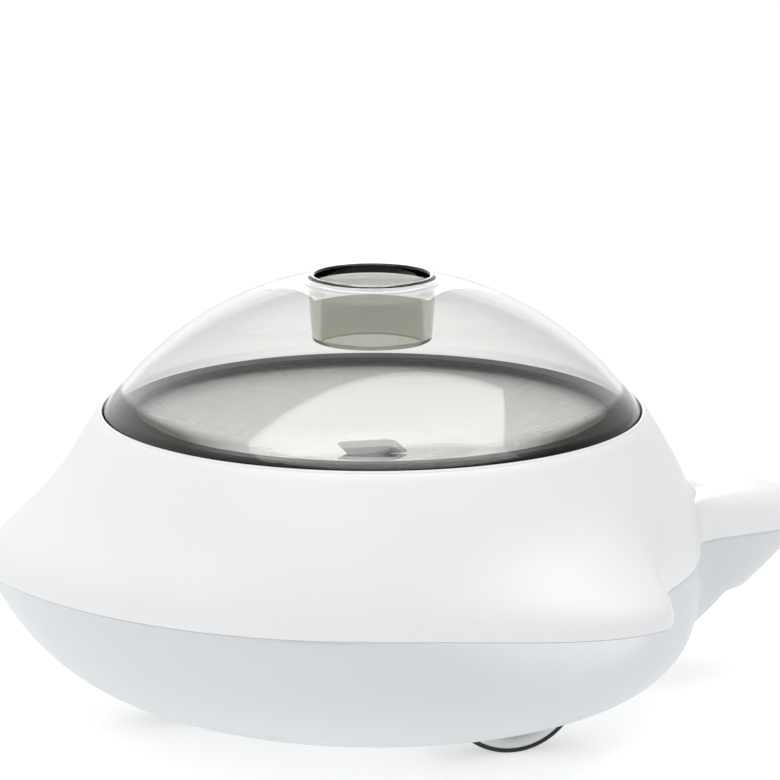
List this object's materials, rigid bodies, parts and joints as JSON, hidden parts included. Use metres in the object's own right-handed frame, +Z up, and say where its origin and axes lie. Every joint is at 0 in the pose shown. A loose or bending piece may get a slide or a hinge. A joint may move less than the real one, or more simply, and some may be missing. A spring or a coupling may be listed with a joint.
{
  "type": "rolling treat launcher",
  "caption": "Rolling dog-treat launcher: a finned white shell on wheels with a smoked dome and fill tube; rolling it turns a geared rotor that drops treats from a port under the tail.",
  "frame": {"origin": "on the floor under the middle of the overall length and width", "axes": "+X points to the tail, +Y to the side that carries the gear train, and +Z up"},
  "size_m": [0.2386, 0.2064, 0.1231],
  "materials": {
    "shell_white": "gloss",
    "dome_smoke": "clear gloss, smoke tint",
    "foot_dark": "satin, dark smoke",
    "tray_white": "satin gloss",
    "frame_grey": "matte",
    "wheel_white": "satin",
    "tyre_black": "matte",
    "gear_ivory": "satin",
    "steel": "plain"
  },
  "bodies": {
    "housing": {"upper_shell": "shell_white", "lower_shell": "shell_white", "seat_ring": "shell_white", "tray": "tray_white", "feed_housing": "frame_grey", "chute": "frame_grey", "chassis": "frame_grey", "axle_bushes": "gear_ivory", "nose_axle": "steel", "idler_pin": "steel", "shell_screws": "steel", "chassis_screws": "steel", "housing_screws": "steel"},
    "dome_cover": {"dome": "dome_smoke", "dome_foot": "foot_dark"},
    "rear_wheels": {"rear_axle": "steel", "rear_wheel_left": "wheel_white", "rear_wheel_right": "wheel_white", "rear_tyre_left": "tyre_black", "rear_tyre_right": "tyre_black", "drive_pinion": "gear_ivory"},
    "front_wheel": {"nose_wheel": "wheel_white", "nose_tyre": "tyre_black"},
    "idler": {"idler_gear": "gear_ivory"},
    "feed_rotor": {"rotor": "gear_ivory", "rotor_shaft": "steel", "rotor_gear": "gear_ivory"}
  },
  "joints": [
    {"name": "rear_wheels_spin", "type": "hinge", "parent": "housing", "child": "rear_wheels", "pos_m": [0.0155, 0, 0.0194], "axis": [0, 1, 0], "continuous": true},
    {"name": "idler_spin", "type": "hinge", "parent": "housing", "child": "idler", "pos_m": [0.00598, 0, 0.03104], "axis": [0, 1, 0], "continuous": true},
    {"name": "rotor_spin", "type": "hinge", "parent": "housing", "child": "feed_rotor", "pos_m": [-0.0105, 0, 0.05121], "axis": [0, 1, 0], "continuous": true},
    {"name": "nose_wheel_spin", "type": "hinge", "parent": "housing", "child": "front_wheel", "pos_m": [-0.0595, 0, 0.0194], "axis": [0, 1, 0], "continuous": true},
    {"name": "dome_lift", "type": "slide", "parent": "housing", "child": "dome_cover", "axis": [0, 0, 1], "range_m": [0, 0.06]}
  ],
  "couplings": [
    {"joint": "idler_spin", "follows": "rear_wheels_spin", "ratio": -0.66667},
    {"joint": "rotor_spin", "follows": "rear_wheels_spin", "ratio": 0.35294}
  ]
}
